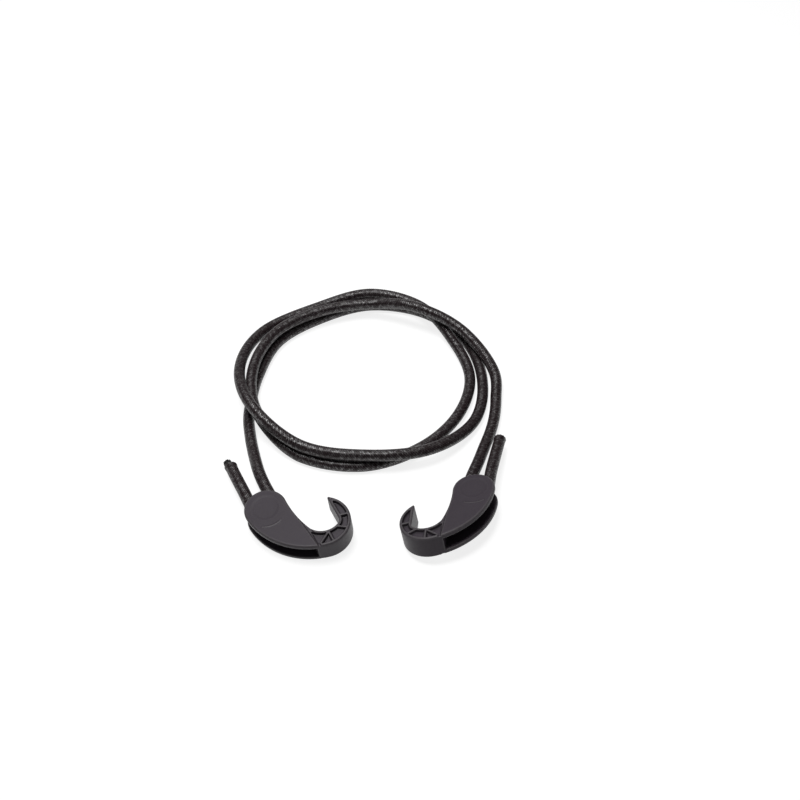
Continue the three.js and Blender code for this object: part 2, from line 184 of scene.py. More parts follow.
# Coil: its radius and layer at twelve places in each turn, clockwise from the left
COIL_CENTRE = (-6.0, 134.3)
COIL_STEP = 30
COIL_RADII = [
    79, 77, 74, 79.5, 82, 82, 82.5, 87, 88.5, 84, 86.5, 90,
    90.8, 91, 83, 84.5, 79, 72.5, 73.8, 74.5, 78.5, 85.5, 88.5, 86.5,
    81.5, 78.5, 72.5, 71, 68, 78.5, 91,
]
COIL_LAYERS = [
    0, 0, 0.03, 0.03, 0.03, 0.03, 0, 0, 0.88, 1.08, 1.08, 2.06,
    1.34, 0.45, 0.5, 1, 1.06, 0.32, 0, 0, 0, 0, 0, 1,
    1.08, 1.08, 1.1, 1.13, 2.08, 1.45, 0.62,
]

# Steps of the smooth curve from one point of the route to the next
CURVE_STEPS = 60

# Finishes: a noise is its scale, detail and roughness, and a bump is its depth in metres and its strength
# Yarn colour by braid height: the crest colour is the yarn's own, and the darker colours towards the gaps are
# painted shade
YARN_COLOUR_AND_GAP_SHADE = [
    (0.0, (0.0025, 0.0017, 0.002)),
    (0.55, (0.0114, 0.0072, 0.008)),
    (1.0, (0.0365, 0.0232, 0.0258)),
]
# Painted glint: a paler colour mixed into the crests of some stitches at random, in place of their highlights
YARN_PAINTED_GLINT = (0.047, 0.0365, 0.039)
YARN_DUST = (0.0142, 0.0101, 0.0111)
DUST_NOISE = (38.0, 4.0, 0.55)
DUST_SHARE = 0.3
GAP_ROUGHNESS = 0.6
CREST_SMOOTHING = 0.33
BRIGHT_SHINE = 2.0
CREST_SHINE = 0.42
FILAMENTS = 4
FILAMENT_BUMP = (0.00008, 0.17)
PLASTIC_DARK = (0.049, 0.0394, 0.0502)
PLASTIC_LIGHT = (0.0612, 0.0494, 0.0628)
# Paler colour on convex edges: partly wear, partly a painted highlight along the rounded edges
PLASTIC_WEAR_AND_HIGHLIGHT = (0.115, 0.106, 0.112)
WEAR_AND_HIGHLIGHT_SHARE = 0.85
# Painted shade: a darker colour in the inner corners of the moulding
PLASTIC_CORNER_SHADE = (0.016, 0.014, 0.016)
CORNER_SHADE_SHARE = 0.6
PLASTIC_ROUGHNESS = 0.3
PLASTIC_SHINE = 0.22
CLOUD_NOISE = (55.0, 4.0, 0.6)
SCUFF_NOISE = (420.0, 5.0, 0.7)
SCUFF_ROUGHNESS = 0.2
SCUFF_BUMP = (0.00012, 0.12)
GRAIN_NOISE = (5200.0, 2.0, 0.5)
GRAIN_BUMP = (0.00006, 0.3)
RUBBER_COLOURS = [(0.45, (0.008, 0.0078, 0.008)), (0.8, (0.03, 0.029, 0.028))]
RUBBER_ROUGHNESS = 0.6
TALC_NOISE = (900.0, 4.0, 0.55)
TALC_ROUGHNESS = 0.25
TALC_BUMP = (0.0001, 0.3)

# Stage: floor in millimetres, lights and camera in metres, the photograph's focal length and width in pixels
FLOOR_HALF = 15000.0
FLOOR_DROP = 0.2
FLOOR_COLOUR = (0.35, 0.35, 0.35, 1)
FLOOR_ROUGHNESS = 0.9
FLOOR_LIFT = 0.82
WHITE = (1, 1, 1, 1)
LIGHT_TARGET = (0, 0.08, 0)
LIGHTS = [
    {"name": "key", "place": (-0.2, 0.06, 1.3), "size": 0.5, "power": 9.0},
    {"name": "soft", "place": (-0.3, 0.9, 1.15), "size": 1.2, "power": 4.5},
]
WORLD_STRENGTH = 0.1
CAMERA_PLACE = (0.01745, -0.41343, 0.5280)
CAMERA_PITCH = 45
SENSOR_WIDTH = 36
FOCAL_PIXELS = 1050
FRAME_PIXELS = 800


def unit(degrees):
    return np.array([np.cos(np.radians(degrees)), np.sin(np.radians(degrees))])


def angle_of(vector):
    return np.degrees(np.arctan2(vector[1], vector[0]))


def tilt_of(hook):
    about_x, about_y = np.radians(hook["tilt"])
    return np.array(Matrix.Rotation(about_y, 3, "Y") @ Matrix.Rotation(about_x, 3, "X"))


def turn_of(hook):
    flip = Matrix.Rotation(np.pi if hook["flipped"] else 0, 3, "X")
    return tilt_of(hook) @ np.array(Matrix.Rotation(np.radians(hook["angle"]), 3, "Z") @ flip)


# Mesh helpers
def new_object(name, points_mm, faces, material, smooth=True):
    mesh = bpy.data.meshes.new(name)
    mesh.from_pydata((points_mm * MM).tolist(), [], faces)
    mesh.polygons.foreach_set("use_smooth", np.full(len(mesh.polygons), smooth))
    mesh.materials.append(material)
    mesh.update()
    made = bpy.data.objects.new(name, mesh)
    bpy.context.scene.collection.objects.link(made)
    return made


def point_values(made, name, values):
    attribute = made.data.attributes.new(name, "FLOAT", "POINT")
    attribute.data.foreach_set("value", np.asarray(values, np.float32))


# Node helpers
class Nodes:
    """Short names for the nodes of one material."""

    # Factor, two colours and result among the sockets of a mix node
    MIX_INPUTS = (0, 6, 7)
    MIX_RESULT = 2

    def __init__(self, name):
        self.material = bpy.data.materials.new(name)
        self.material.use_nodes = True
        self.tree = self.material.node_tree
        self.shader = self.tree.nodes["Principled BSDF"]

    def add(self, kind, **settings):
        node = self.tree.nodes.new(kind)
        for key, value in settings.items():
            setattr(node, key, value)
        return node

    def link(self, source, target):
        self.tree.links.new(source, target)

    def math(self, operation, *values):
        node = self.add("ShaderNodeMath", operation=operation)
        for socket, value in zip(node.inputs, values):
            if isinstance(value, (int, float)):
                socket.default_value = value
            else:
                self.link(value, socket)
        return node.outputs[0]

    def attribute(self, name):
        return self.add("ShaderNodeAttribute", attribute_name=name).outputs["Fac"]

    def noise(self, scale, detail, roughness):
        node = self.add("ShaderNodeTexNoise")
        node.inputs["Scale"].default_value = scale
        node.inputs["Detail"].default_value = detail
        node.inputs["Roughness"].default_value = roughness
        self.link(self.add("ShaderNodeTexCoord").outputs["Object"], node.inputs["Vector"])
        return node.outputs["Fac"]

    def ramp(self, value, stops):
        node = self.add("ShaderNodeValToRGB")
        elements = node.color_ramp.elements
        while len(elements) < len(stops):
            elements.new(0.5)
        for element, (place, colour) in zip(elements, stops):
            element.position = place
            element.color = (*colour, 1)
        self.link(value, node.inputs["Fac"])
        return node.outputs["Color"]

    def mix(self, factor, first, second):
        node = self.add("ShaderNodeMix", data_type="RGBA")
        for index, value in zip(self.MIX_INPUTS, (factor, first, second)):
            if isinstance(value, tuple):
                node.inputs[index].default_value = (*value, 1)
            else:
                self.link(value, node.inputs[index])
        return node.outputs[self.MIX_RESULT]

    def bump(self, height, depth, strength, before=None):
        node = self.add("ShaderNodeBump")
        node.inputs["Distance"].default_value = depth
        node.inputs["Strength"].default_value = strength
        self.link(height, node.inputs["Height"])
        if before is not None:
            self.link(before, node.inputs["Normal"])
        return node.outputs["Normal"]


# Materials
def braid_material():
    """Black braided yarn: filaments run along the yarn on top, painted shade darkens the gaps between yarns,
    and some stitches carry a painted glint and more shine.
    """
    n = Nodes("braided sheath")
    uv = n.add("ShaderNodeUVMap", uv_map="braid").outputs["UV"]
    split = n.add("ShaderNodeSeparateXYZ")
    n.link(uv, split.inputs[0])
    one = n.math("ADD", split.outputs["X"], split.outputs["Y"])
    other = n.math("SUBTRACT", split.outputs["X"], split.outputs["Y"])
    one_index = n.math("ROUND", one)
    other_index = n.math("ROUND", other)
    odd = n.math("FLOORED_MODULO", n.math("ADD", one_index, other_index), 2.0)
    even = n.math("SUBTRACT", 1.0, odd)
    across = n.math("ADD", n.math("MULTIPLY", one, even), n.math("MULTIPLY", other, odd))
    filaments = n.math("COSINE", n.math("MULTIPLY", across, 2 * np.pi * FILAMENTS))
    stitch = n.add("ShaderNodeCombineXYZ")
    n.link(one_index, stitch.inputs[0])
    n.link(other_index, stitch.inputs[1])
    chance = n.add("ShaderNodeTexWhiteNoise", noise_dimensions="2D")
    n.link(stitch.outputs[0], chance.inputs["Vector"])
    # Braid height: its ramp paints shade into the gaps between yarns, and it also sets the roughness
    relief = n.attribute("relief")
    crest = n.math("POWER", relief, 2.0)
    # Some crests at random get a painted glint in their colour and, further down, a higher specular level
    glint_stitches = n.math("MULTIPLY", n.math("POWER", chance.outputs["Value"], 2.0), crest)
    yarn = n.mix(glint_stitches, n.ramp(relief, YARN_COLOUR_AND_GAP_SHADE), YARN_PAINTED_GLINT)
    dust = n.math("MULTIPLY", n.noise(*DUST_NOISE), DUST_SHARE)
    n.link(n.mix(dust, yarn, YARN_DUST), n.shader.inputs["Base Color"])
    rough = n.math("SUBTRACT", GAP_ROUGHNESS, n.math("MULTIPLY", relief, CREST_SMOOTHING))
    n.link(rough, n.shader.inputs["Roughness"])
    shine = n.math("ADD", n.math("MULTIPLY", glint_stitches, BRIGHT_SHINE), n.math("MULTIPLY", crest, CREST_SHINE))
    n.link(shine, n.shader.inputs["Specular IOR Level"])
    n.link(n.bump(filaments, *FILAMENT_BUMP), n.shader.inputs["Normal"])
    return n.material


def plastic_material():
    """Dark charcoal moulded plastic with a fine grain, paler on convex edges, partly wear and partly a painted
    highlight, and darker in inner corners with painted shade.
    """
    n = Nodes("hook plastic")
    edge = n.attribute("edge")
    base = n.mix(n.noise(*CLOUD_NOISE), PLASTIC_DARK, PLASTIC_LIGHT)
    # Convex edges get a paler colour: partly wear, partly a painted highlight
    outer = n.math("MULTIPLY", n.math("MAXIMUM", edge, 0.0), WEAR_AND_HIGHLIGHT_SHARE)
    # Inner corners get a darker colour: painted shade
    inner = n.math("MULTIPLY", n.math("MAXIMUM", n.math("MULTIPLY", edge, -1.0), 0.0), CORNER_SHADE_SHARE)
    worn_and_highlit = n.mix(outer, base, PLASTIC_WEAR_AND_HIGHLIGHT)
    n.link(n.mix(inner, worn_and_highlit, PLASTIC_CORNER_SHADE), n.shader.inputs["Base Color"])
    scuff = n.noise(*SCUFF_NOISE)
    rough = n.math("ADD", n.math("MULTIPLY", scuff, SCUFF_ROUGHNESS), PLASTIC_ROUGHNESS)
    n.link(rough, n.shader.inputs["Roughness"])
    n.shader.inputs["Specular IOR Level"].default_value = PLASTIC_SHINE
    coarse = n.bump(scuff, *SCUFF_BUMP)
    n.link(n.bump(n.noise(*GRAIN_NOISE), *GRAIN_BUMP, coarse), n.shader.inputs["Normal"])
    return n.material


def rubber_material():
    """Dull black rubber thread, dusted with talc at the cut."""
    n = Nodes("core rubber")
    talc = n.noise(*TALC_NOISE)
    n.link(n.ramp(talc, RUBBER_COLOURS), n.shader.inputs["Base Color"])
    rough = n.math("ADD", n.math("MULTIPLY", talc, TALC_ROUGHNESS), RUBBER_ROUGHNESS)
    n.link(rough, n.shader.inputs["Roughness"])
    n.link(n.bump(talc, *TALC_BUMP), n.shader.inputs["Normal"])
    return n.material


def floor_material():
    """Floor that keeps its shadows and reads as white to the camera and in reflections."""
    n = Nodes("floor")
    n.shader.inputs["Base Color"].default_value = FLOOR_COLOUR
    n.shader.inputs["Roughness"].default_value = FLOOR_ROUGHNESS
    n.shader.inputs["Specular IOR Level"].default_value = 0.0
    n.shader.inputs["Emission Color"].default_value = WHITE
    rays = n.add("ShaderNodeLightPath").outputs
    bounced = n.math("MAXIMUM", rays["Is Glossy Ray"], rays["Is Transmission Ray"])
    seen = n.math("MAXIMUM", rays["Is Camera Ray"], bounced)
    n.link(n.math("MULTIPLY", seen, FLOOR_LIFT), n.shader.inputs["Emission Strength"])
    return n.material


# Route of the cord
def at_hook(hook, out, side, drop):
    inward = unit(hook["cord_angle"])
    forward = tilt_of(hook) @ (inward[0], inward[1], 0)
    across = tilt_of(hook) @ (-inward[1], inward[0], 0)
    point = np.array(hook["post"]) - forward * out + across * (-side if hook["flipped"] else side)
    return point - (0, 0, drop)


def end_route(hook, tail, leg, lead):
    points = [at_hook(hook, out, -side, drop) for out, side, drop in tail]
    for turn in np.linspace(0, np.pi, BIGHT_POINTS):
        points.append(at_hook(hook, -BIGHT_RADIUS * np.sin(turn), -BIGHT_RADIUS * np.cos(turn), 0))
    points += [at_hook(hook, out, side, drop) for out, side, drop in leg]
    points += [(x, y, CORD_RADIUS + layer * CORD_DIAMETER) for x, y, layer in lead]
    return points


def coil_route():
    points = []
    for place, (radius, layer) in enumerate(zip(COIL_RADII, COIL_LAYERS)):
        x, y = COIL_CENTRE + radius * unit(180 - COIL_STEP * place)
        points.append((x, y, CORD_RADIUS + layer * CORD_DIAMETER))
    return points


def smooth_curve(points):
    """Centripetal Catmull-Rom curve kept off the floor, lengths along it, and the length at each point."""
    ends = np.vstack([2 * points[0] - points[1], points, 2 * points[-1] - points[-2]])
    pieces = []
    for p0, p1, p2, p3 in zip(ends, ends[1:], ends[2:], ends[3:]):
        t1 = np.linalg.norm(p1 - p0) ** 0.5
        t2 = t1 + np.linalg.norm(p2 - p1) ** 0.5
        t3 = t2 + np.linalg.norm(p3 - p2) ** 0.5
        t = np.linspace(t1, t2, CURVE_STEPS, endpoint=False)[:, None]
        a1 = (t1 - t) / t1 * p0 + t / t1 * p1
        a2 = (t2 - t) / (t2 - t1) * p1 + (t - t1) / (t2 - t1) * p2
        a3 = (t3 - t) / (t3 - t2) * p2 + (t - t2) / (t3 - t2) * p3
        b1 = (t2 - t) / t2 * a1 + t / t2 * a2
        b2 = (t3 - t) / (t3 - t1) * a2 + (t - t1) / (t3 - t1) * a3
        pieces.append((t2 - t) / (t2 - t1) * b1 + (t - t1) / (t2 - t1) * b2)
    curve = np.vstack([*pieces, points[-1:]])
    curve[:, 2] = np.maximum(curve[:, 2], CORD_RADIUS)
    along = np.r_[0, np.cumsum(np.linalg.norm(np.diff(curve, axis=0), axis=1))]
    return curve, along, along[::CURVE_STEPS]


def untwisted_frames(centres):
    tangents = np.gradient(centres, axis=0)
    tangents /= np.linalg.norm(tangents, axis=1)[:, None]
    normals = np.empty_like(tangents)
    normal = np.cross((0, 0, 1), tangents[0])
    for i, tangent in enumerate(tangents):
        normal = normal - tangent * (normal @ tangent)
        normal /= np.linalg.norm(normal)
        normals[i] = normal
    return tangents, normals, np.cross(tangents, normals)


left_end = end_route(LEFT_HOOK, LEFT_TAIL, LEFT_LEG, LEFT_LEAD)
right_end = end_route(RIGHT_HOOK, RIGHT_TAIL, RIGHT_LEG, RIGHT_LEAD)
route = np.array(left_end + coil_route() + right_end[::-1])
curve, curve_along, point_along = smooth_curve(route)
ring_along = np.arange(0, curve_along[-1], RING_STEP)
centres = np.c_[tuple(np.interp(ring_along, curve_along, curve[:, axis]) for axis in range(3))]
tangents, normals, binormals = untwisted_frames(centres)
side_turns = 2 * np.pi * np.arange(SIDES) / SIDES


def ring_at(point_index):
    return int(round(point_along[point_index] / RING_STEP))


LEFT_LEG_START = len(LEFT_TAIL) + BIGHT_POINTS
LEFT_CUT = LEFT_LEG_START + len(LEFT_LEG) + LEAD_CUT
left_leg_ring = ring_at(LEFT_LEG_START)
left_cut_ring = ring_at(LEFT_CUT)
right_cut_ring = ring_at(len(route) - 1 - LEFT_CUT)
right_leg_ring = ring_at(len(route) - 1 - LEFT_LEG_START)
last_ring = len(ring_along) - 1


# Braided tube
def braid_height(around, laid):
    """Height of the braid from 0 in a gap to 1 on a crest. around counts carriers and laid counts lays."""
    one, other = around + laid, around - laid
    one_index, other_index = np.round(one), np.round(other)
    one_yarn = 1 - (2 * (one - one_index)) ** YARN_FLATNESS
    other_yarn = 1 - (2 * (other - other_index)) ** YARN_FLATNESS
    one_up = 0.5 + 0.5 * np.cos(np.pi * (other + one_index))
    other_up = 0.5 - 0.5 * np.cos(np.pi * (one + other_index))
    rise = 1 - YARN_UNDER
    return np.maximum(one_yarn * (YARN_UNDER + rise * one_up), other_yarn * (YARN_UNDER + rise * other_up))


def ring_points(rings, radius):
    """Points of whole rings. radius has one row a ring and one column a side."""
    cosine = np.cos(side_turns)[:, None]
    sine = np.sin(side_turns)[:, None]
    across = normals[rings][:, None] * cosine + binormals[rings][:, None] * sine
    return centres[rings][:, None] + across * radius[..., None]


def tube_faces(rings):
    ring = np.arange(rings - 1)[:, None] * SIDES
    side = np.arange(SIDES)[None]
    following = (side + 1) % SIDES
    quads = np.stack([ring + side, ring + following, ring + SIDES + following, ring + SIDES + side], axis=-1)
    return quads.reshape(-1, 4).tolist()


def braid_map(made, count, laid):
    """Map of carriers round the cord and lays along it, which the braid's filaments follow."""
    loops = np.empty(len(made.data.loops), np.int32)
    made.data.loops.foreach_get("vertex_index", loops)
    side = (loops % SIDES).astype(float)
    body = (count - 1) * SIDES * 4
    corners = side[:body].reshape(-1, 4)
    wrapped = (corners.max(1) - corners.min(1)) > SIDES / 2
    corners[wrapped] = np.where(corners[wrapped] == 0, SIDES, corners[wrapped])
    side[:body] = corners.ravel()
    values = np.c_[CARRIERS * side / SIDES, laid[loops // SIDES]]
    layer = made.data.uv_layers.new(name="braid")
    layer.data.foreach_set("uv", values.astype(np.float32).ravel())


def cord_piece(name, first, last, material, shape):
    """A closed stretch of braided tube between two rings, and its path. shape, if given, makes its tip."""
    rings = np.arange(first, last + 1)
    around = CARRIERS * np.arange(SIDES) / SIDES
    laid = rings / STEPS_PER_LAY
    height = braid_height(around[None], laid[:, None])
    points = ring_points(rings, CORD_RADIUS - RELIEF * (1 - height))
    if shape is not None:
        points, height, laid = shape(points, height, laid)
    count = len(points)
    faces = tube_faces(count)
    faces.append(list(range(SIDES))[::-1])
    faces.append(list(range((count - 1) * SIDES, count * SIDES)))
    made = new_object(name, points.reshape(-1, 3), faces, material)
    point_values(made, "relief", height.ravel())
    braid_map(made, count, laid)
    return made, centres[rings] * MM


# Tips of the cord
LEG_SIDE = tilt_of(LEFT_HOOK) @ (*unit(LEFT_HOOK["cord_angle"] + 90), 0)


def left_tip(points, height, laid):
    """Cut end of the sheath: a flared lip that rolls in to the core, cut back on the side next to the leg."""
    out = -tangents[0]
    middle = centres[0]
    first = points[0] - middle
    wave = CUT_WAVE_HEIGHT * np.sin(CUT_WAVES * side_turns + CUT_WAVE_START)
    cut = wave - CUT_BACK - CUT_SLANT * (first @ LEG_SIDE) / CORD_RADIUS
    fade = np.clip(1 - np.arange(len(points)) * RING_STEP / FLARE_LENGTH, 0, 1)
    axis = centres[:len(points), None]
    flared = axis + (points - axis) * (1 + FLARE * fade**2)[:, None, None]
    points = flared + fade[:, None, None] * cut[None, :, None] * out
    lip = [middle + first * share + out * (depth + cut)[:, None] for share, depth in LIP]
    points = np.concatenate([np.array(lip), points[1:]])
    height = np.concatenate([np.full((len(LIP), SIDES), LIP_RELIEF), height[1:]])
    laid = np.r_[np.linspace(*LIP_LAYS, len(LIP)), laid[1:]]
    return points, height, laid


def right_tip(points, height, laid):
    """Melted end: the braid swells a little and closes in a blunt dome."""
    out = tangents[-1]
    middle = centres[-1]
    last = points[-1] - middle
    rings_left = np.arange(len(points))[::-1]
    swell = 1 + SWELL * np.clip(1 - rings_left / SWELL_RINGS, 0, 1) ** 2
    axis = centres[-len(points):, None]
    points = axis + (points - axis) * swell[:, None, None]
    dome = [middle + last * share + out * (depth - DOME_BACK) for share, depth in DOME]
    points = np.concatenate([points[:-DOME_RINGS], np.array(dome)])
    height = np.concatenate([height[:-DOME_RINGS], np.full((len(DOME), SIDES), DOME_RELIEF)])
    laid = np.r_[laid[:-DOME_RINGS], laid[-DOME_RINGS] + np.linspace(*DOME_LAYS, len(DOME))]
    return points, height, laid


def core_threads():
    """Bundle of rubber threads that sticks out of the cut end, each cut at a slightly different length."""
    draw = np.random.default_rng(CORE_SEED)
    pitch = 2 * THREAD_RADIUS + THREAD_GAP
    turn = 2 * np.pi * np.arange(THREAD_SIDES) / THREAD_SIDES
    circle = normals[0] * np.cos(turn)[:, None] + binormals[0] * np.sin(turn)[:, None]
    points, faces = [], []
    for row, column in product(range(-THREAD_ROWS, THREAD_ROWS + 1), repeat=2):
        x = pitch * (column + row / 2)
        y = pitch * row * 3**0.5 / 2
        if np.hypot(x, y) > CORE_RADIUS - THREAD_RADIUS:
            continue
        reach = CORE_STUB - CORE_DOME * (x * x + y * y) + draw.uniform(-CORE_UNEVEN, CORE_UNEVEN)
        middle = centres[0] - CORE_SHIFT * LEG_SIDE + normals[0] * x + binormals[0] * y
        first = len(points)
        rings = [(1, -THREAD_INSIDE), *((share, reach - short) for share, short in THREAD_END)]
        for share, depth in rings:
            points.extend(middle - tangents[0] * depth + circle * THREAD_RADIUS * share)
        for start in range(first, len(points) - THREAD_SIDES, THREAD_SIDES):
            for k in range(THREAD_SIDES):
                a, b = start + k, start + (k + 1) % THREAD_SIDES
                faces.append([b, a, a + THREAD_SIDES, b + THREAD_SIDES])
        faces.append(list(range(first, first + THREAD_SIDES)))
        faces.append(list(range(len(points) - THREAD_SIDES, len(points)))[::-1])
    return np.array(points), faces


# Outline of the hook
def arc(centre, radius, start, end, step=2.5):
    turn = np.radians(np.linspace(start, end, max(3, int(abs(end - start) / step) + 1)))
    return np.c_[centre[0] + radius * np.cos(turn), centre[1] + radius * np.sin(turn)]


HORN_TIP = HORN_CENTRE + HORN_RADIUS * unit(HORN_ARC_END) + HORN_TIP_LENGTH * unit(HORN_ARC_END + 90)
HORN_TIP_INNER = HORN_TIP + HORN_TIP_WIDTH * unit(HORN_TIP_ANGLE)
TIP_HALF = (HORN_ARC_END - 90 - HORN_TIP_ANGLE) / 2
TIP_ROUND_CENTRE = HORN_TIP + HORN_TIP_ROUND / np.sin(np.radians(TIP_HALF)) * unit(HORN_TIP_ANGLE + TIP_HALF)
TIP_ROUND_STEP = 15
PLATE_END = MOUTH_CENTRE - np.array([PLATE_END_SETBACK, MOUTH_RADIUS])
PLATE_END_ALONG = unit(PLATE_END_ANGLE)


def triangle_angle(beside, other_beside, opposite):
    """Angle in degrees between two sides of a triangle."""
    return np.degrees(np.arccos((beside**2 + other_beside**2 - opposite**2) / (2 * beside * other_beside)))


def back_arc():
    """Centre, start and end of the wide arc along the back, which joins the head and the horn."""
    to_head = BACK_RADIUS - HEAD_RADIUS
    to_horn = BACK_RADIUS - HORN_RADIUS
    angle = angle_of(HORN_CENTRE) + triangle_angle(to_head, np.linalg.norm(HORN_CENTRE), to_horn)
    centre = to_head * unit(angle)
    return centre, angle - 180, angle_of(HORN_CENTRE - centre)


def edge_arc():
    """Centre of the hollow arc between the head and the mouth, the centre's direction, and the arc's end."""
    from_head = EDGE_RADIUS + HEAD_RADIUS
    from_mouth = EDGE_RADIUS - MOUTH_RADIUS
    angle = angle_of(MOUTH_CENTRE) + triangle_angle(from_head, np.linalg.norm(MOUTH_CENTRE), from_mouth)
    centre = from_head * unit(angle)
    return centre, angle, angle_of(MOUTH_CENTRE - centre)


def corner_arc():
    """Centre and start of the arc between the mouth and the straight inner side of the horn."""
    centre = MOUTH_CENTRE + (MOUTH_RADIUS - MOUTH_CORNER_RADIUS) * unit(MOUTH_CORNER_ANGLE)
    reach = centre - HORN_TIP_INNER
    turn = np.degrees(np.arccos(MOUTH_CORNER_RADIUS / np.linalg.norm(reach)))
    return centre, angle_of(reach) + 180 - turn


BACK_CENTRE, BACK_START, BACK_END = back_arc()
EDGE_CENTRE, EDGE_ANGLE, EDGE_END = edge_arc()
CORNER_CENTRE, CORNER_START = corner_arc()


def hook_outline():
    return np.vstack([
        arc((0, 0), HEAD_RADIUS, EDGE_ANGLE, BACK_START + 360),
        arc(BACK_CENTRE, BACK_RADIUS, BACK_START, BACK_END)[1:],
        arc(HORN_CENTRE, HORN_RADIUS, BACK_END, HORN_ARC_END)[1:],
        arc(TIP_ROUND_CENTRE, HORN_TIP_ROUND, HORN_ARC_END, HORN_TIP_ANGLE + 270, TIP_ROUND_STEP),
        HORN_TIP_INNER,
        arc(CORNER_CENTRE, MOUTH_CORNER_RADIUS, CORNER_START, MOUTH_CORNER_ANGLE),
        arc(MOUTH_CENTRE, MOUTH_RADIUS, MOUTH_CORNER_ANGLE, EDGE_END)[1:],
        arc(EDGE_CENTRE, EDGE_RADIUS, EDGE_END, EDGE_ANGLE - 180)[1:],
    ])


def leaves(start, along, centre, radius):
    """Where a line from a point inside a circle leaves it."""
    offset = start - centre
    middle = offset @ along
    return start + (-middle + np.sqrt(middle**2 - offset @ offset + radius**2)) * along


def slot_outline():
    """The slot in plan, between the web at the mouth side and the wall at the horn, and open elsewhere."""
    beyond = 3 * HEAD_RADIUS
    on_wall = PLATE_END + SLOT_END_WALL * unit(PLATE_END_ANGLE - 90)
    web_radius = EDGE_RADIUS + WEB_THICKNESS
    web_start = EDGE_ANGLE - 180 + np.degrees(WEB_START / EDGE_RADIUS)
    web_end = leaves(on_wall, PLATE_END_ALONG, EDGE_CENTRE, web_radius)
    return np.vstack([
        EDGE_CENTRE + (web_radius - beyond) * unit(web_start),
        (-beyond, beyond),
        (-beyond, -beyond),
        web_end + beyond * PLATE_END_ALONG,
        arc(EDGE_CENTRE, web_radius, angle_of(web_end - EDGE_CENTRE), web_start),
    ])


# Hook as a field of distances that is negative inside the plastic
def segment_distance(x, y, start, end):
    edge = np.subtract(end, start)
    px, py = x - start[0], y - start[1]
    share = np.clip((px * edge[0] + py * edge[1]) / (edge @ edge), 0, 1)
    return np.hypot(px - share * edge[0], py - share * edge[1])


def polygon_distance(x, y, polygon):
    nearest = np.full(x.shape, np.inf)
    inside = np.zeros(x.shape, bool)
    for start, end in zip(polygon, np.roll(polygon, -1, axis=0)):
        nearest = np.minimum(nearest, segment_distance(x, y, start, end))
        crosses = (start[1] > y) != (end[1] > y)
        slope = (end[0] - start[0]) / (end[1] - start[1]) if end[1] != start[1] else 0.0
        inside ^= crosses & (x - start[0] < (y - start[1]) * slope)
    return np.where(inside, -nearest, nearest)


def smooth_max(a, b, width):
    return np.maximum(a, b) + np.maximum(width - np.abs(a - b), 0) ** 2 / (4 * width)


def face_marks(x, y):
    """Depth of the medallion's shallow dish, and height of the raised line beside it."""
    radius = np.hypot(x, y)
    turn = np.degrees(np.arctan2(y, x))
    dish = RECESS_DEPTH * np.clip(0.5 + (RECESS_RADIUS - radius) / RECESS_SOFT, 0, 1)
    ridge = MARK_HEIGHT * np.exp(-(((radius - MARK_RADIUS) / MARK_WIDTH) ** 2))
    line = ridge * (np.abs(turn - MARK_MIDDLE) < MARK_HALF)
    return dish[..., None], line[..., None]


def rounded_body(side, face):
    """The whole outline with rounded edges, from how far points lie past where the rounding starts."""
    beyond = np.hypot(np.maximum(side, 0), np.maximum(face, 0))
    return beyond + np.minimum(np.maximum(side, face), 0) - EDGE_ROUND


def slot_field(x, y, from_middle):
    """The slot that the cord runs in, round the post."""
    plan = np.maximum(polygon_distance(x, y, slot_outline()), POST_RADIUS - np.hypot(x, y))
    return smooth_max(plan[..., None], from_middle - SLOT_HEIGHT / 2, SLOT_CORNER)


def pocket_field(x, y, from_edge, before_plate_end, below):
    """The pockets in the horn, between its rim and its ribs."""
    towards_horn = unit(CORNER_START - 90)
    before_tip = HORN_TIP_INNER @ towards_horn + TIP_SOLID - x * towards_horn[0] - y * towards_horn[1]
    plan = smooth_max(from_edge + RIM, np.maximum(before_plate_end, before_tip), POCKET_CORNER)
    for start, end in RIB_LINES:
        plan = smooth_max(plan, RIB / 2 - segment_distance(x, y, start, end), RIB_CORNER)
    return smooth_max(plan[..., None] + POCKET_DRAFT * below, below - POCKET_DEPTH, POCKET_CORNER)


def ledge_field(x, y, before_plate_end, below):
    """The shallow ledge along the mouth side of the plate."""
    start = PLATE_END - LEDGE_SETBACK
    turn = EDGE_END + LEDGE_SHARE * (EDGE_ANGLE - 180 - EDGE_END)
    along = EDGE_CENTRE + EDGE_RADIUS * unit(turn) - start
    across = np.array([-along[1], along[0]]) / np.linalg.norm(along)
    on_plate = (x - start[0]) * across[0] + (y - start[1]) * across[1]
    plan = np.maximum(on_plate, -LEDGE_OVERLAP - before_plate_end)
    return smooth_max(plan[..., None], below - LEDGE_DEPTH, LEDGE_SOFT)


def hook_field():
    """Distances on a grid, and the grid's lowest corner."""
    outline = hook_outline()
    low = np.append(outline.min(0), 0) - GRID_MARGIN * CELL
    high = np.append(outline.max(0), HOOK_THICKNESS) + GRID_MARGIN * CELL
    x_places, y_places, z_places = (np.arange(a, b + CELL, CELL) for a, b in zip(low, high))
    x, y = np.meshgrid(x_places, y_places, indexing="ij")
    from_middle = np.abs(z_places - HOOK_THICKNESS / 2)
    below = HOOK_THICKNESS / 2 - from_middle
    from_edge = polygon_distance(x, y, outline)
    dish, line = face_marks(x, y)
    ahead = unit(PLATE_END_ANGLE + 90)
    before_plate_end = PLATE_END @ ahead - x * ahead[0] - y * ahead[1]
    field = rounded_body(from_edge[..., None] + EDGE_ROUND, EDGE_ROUND - below + dish - line)
    field = smooth_max(field, -slot_field(x, y, from_middle), SLOT_EDGE)
    field = smooth_max(field, -pocket_field(x, y, from_edge, before_plate_end, below), POCKET_EDGE)
    return smooth_max(field, -ledge_field(x, y, before_plate_end, below), LEDGE_SOFT), low


